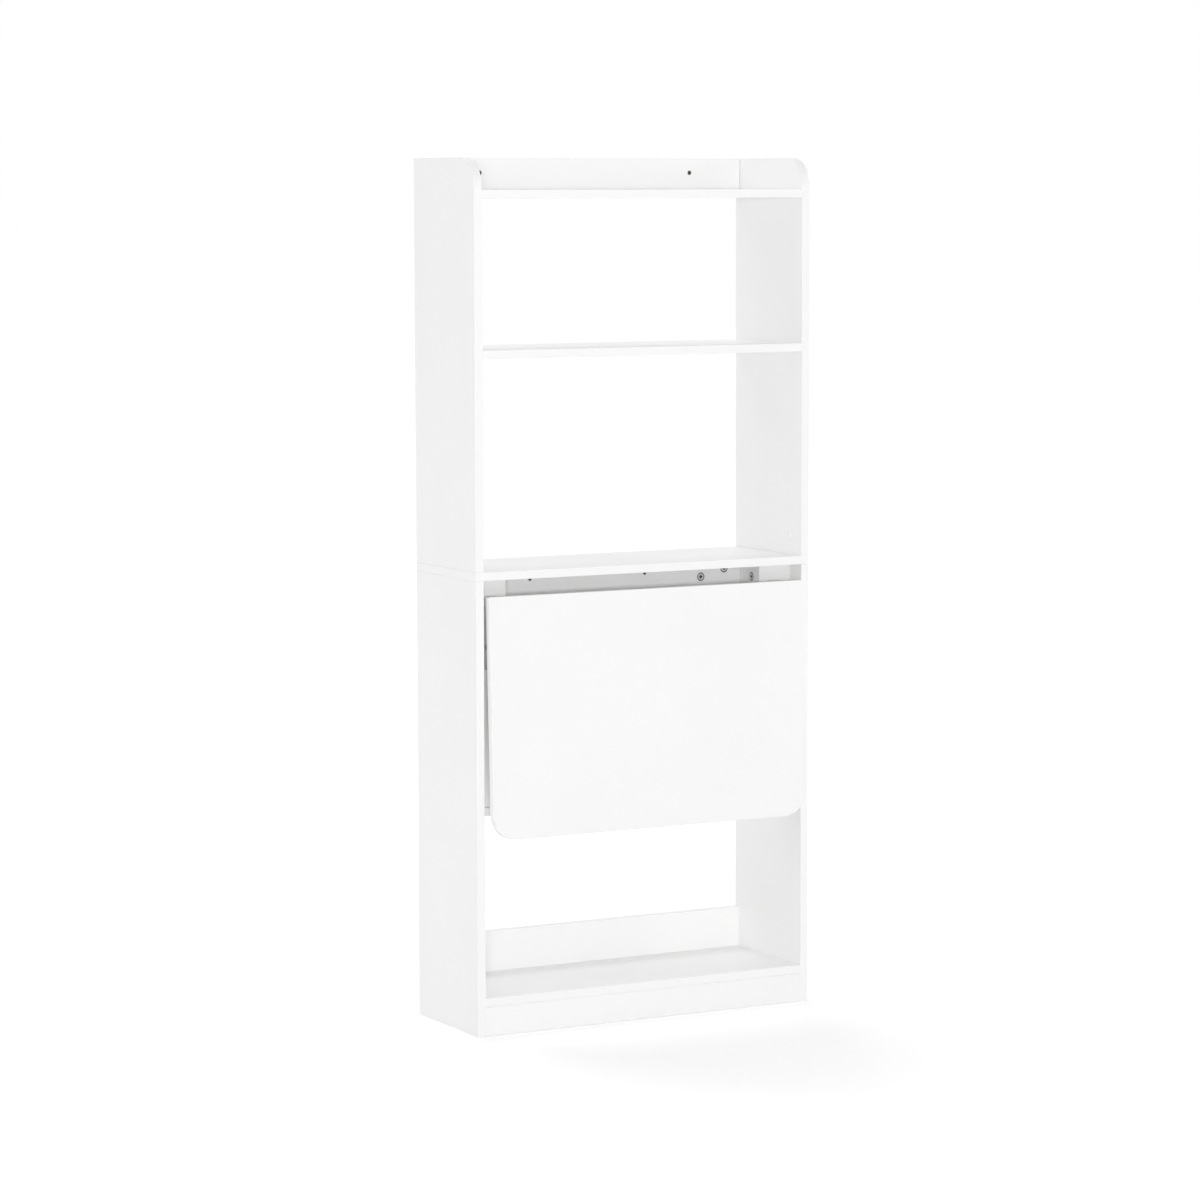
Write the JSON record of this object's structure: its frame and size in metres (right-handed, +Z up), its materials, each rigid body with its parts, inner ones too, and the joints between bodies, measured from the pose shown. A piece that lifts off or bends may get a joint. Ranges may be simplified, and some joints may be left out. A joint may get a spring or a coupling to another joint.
{
  "type": "folding desk",
  "caption": "Tall open shelf unit of white boards whose lower half carries a hanging desk leaf that swings up on folding steel brackets in front of a shallow niche.",
  "frame": {"origin": "on the floor, in the middle of the box around the folded unit, leaf included", "axes": "+Z up, -Y is the front with the leaf, +X to the right seen from the front"},
  "size_m": [0.66, 0.2558, 1.5],
  "materials": {
    "white_board": "chipboard with matt white melamine foil and white edge bands",
    "white_steel": "white powder coat",
    "zinc_steel": "bright zinc plating",
    "nylon": "natural nylon",
    "white_plastic": "moulded white plastic",
    "beech": "turned beech"
  },
  "bodies": {
    "carcass": {"left_lower_side": "white_board", "right_lower_side": "white_board", "left_upper_side": "white_board", "right_upper_side": "white_board", "middle_board": "white_board", "top_shelf": "white_board", "upper_shelf": "white_board", "bottom_shelf": "white_board", "top_back_rail": "white_board", "bottom_back_rail": "white_board", "plinth_board": "white_board", "left_stile": "white_board", "right_stile": "white_board", "left_partition": "white_board", "right_partition": "white_board", "desk_back_panel": "white_board", "desk_floor_board": "white_board", "left_bracket_base": "white_steel", "right_bracket_base": "white_steel", "pivot_pins": "zinc_steel", "brace_pins": "zinc_steel", "base_screws": "zinc_steel", "cam_locks": "zinc_steel", "cam_bolts": "zinc_steel", "cam_caps": "white_plastic", "dowels": "beech"},
    "leaf": {"desk_leaf": "white_board", "left_bracket_arm": "white_steel", "right_bracket_arm": "white_steel", "arm_screws": "zinc_steel", "lever_pins": "zinc_steel"},
    "left_brace": {"left_brace": "white_steel", "left_slide_bush": "nylon", "left_slide_axle": "zinc_steel"},
    "left_lock": {"left_lock_lever": "zinc_steel"},
    "right_brace": {"right_brace": "white_steel", "right_slide_bush": "nylon", "right_slide_axle": "zinc_steel"},
    "right_lock": {"right_lock_lever": "zinc_steel"}
  },
  "joints": [
    {"name": "leaf_fold", "type": "hinge", "parent": "carcass", "child": "leaf", "pos_m": [0, -0.08214, 0.7435], "axis": [-1, 0, 0], "range_deg": [0, 87.9]},
    {"name": "left_brace_fold", "type": "hinge", "parent": "carcass", "child": "left_brace", "pos_m": [-0.2835, -0.07414, 0.6685], "axis": [-1, 0, 0], "range_deg": [0, 116.05]},
    {"name": "left_lock_tilt", "type": "hinge", "parent": "leaf", "child": "left_lock", "pos_m": [-0.2835, -0.09888, 0.579], "axis": [-1, 0, 0], "range_deg": [0, 7]},
    {"name": "right_brace_fold", "type": "hinge", "parent": "carcass", "child": "right_brace", "pos_m": [0.2835, -0.07414, 0.6685], "axis": [-1, 0, 0], "range_deg": [0, 116.05]},
    {"name": "right_lock_tilt", "type": "hinge", "parent": "leaf", "child": "right_lock", "pos_m": [0.2835, -0.09888, 0.579], "axis": [-1, 0, 0], "range_deg": [0, 7]}
  ],
  "couplings": [
    {"joint": "left_brace_fold", "follows": "leaf_fold", "ratio": 1.3202},
    {"joint": "right_brace_fold", "follows": "leaf_fold", "ratio": 1.3202}
  ]
}
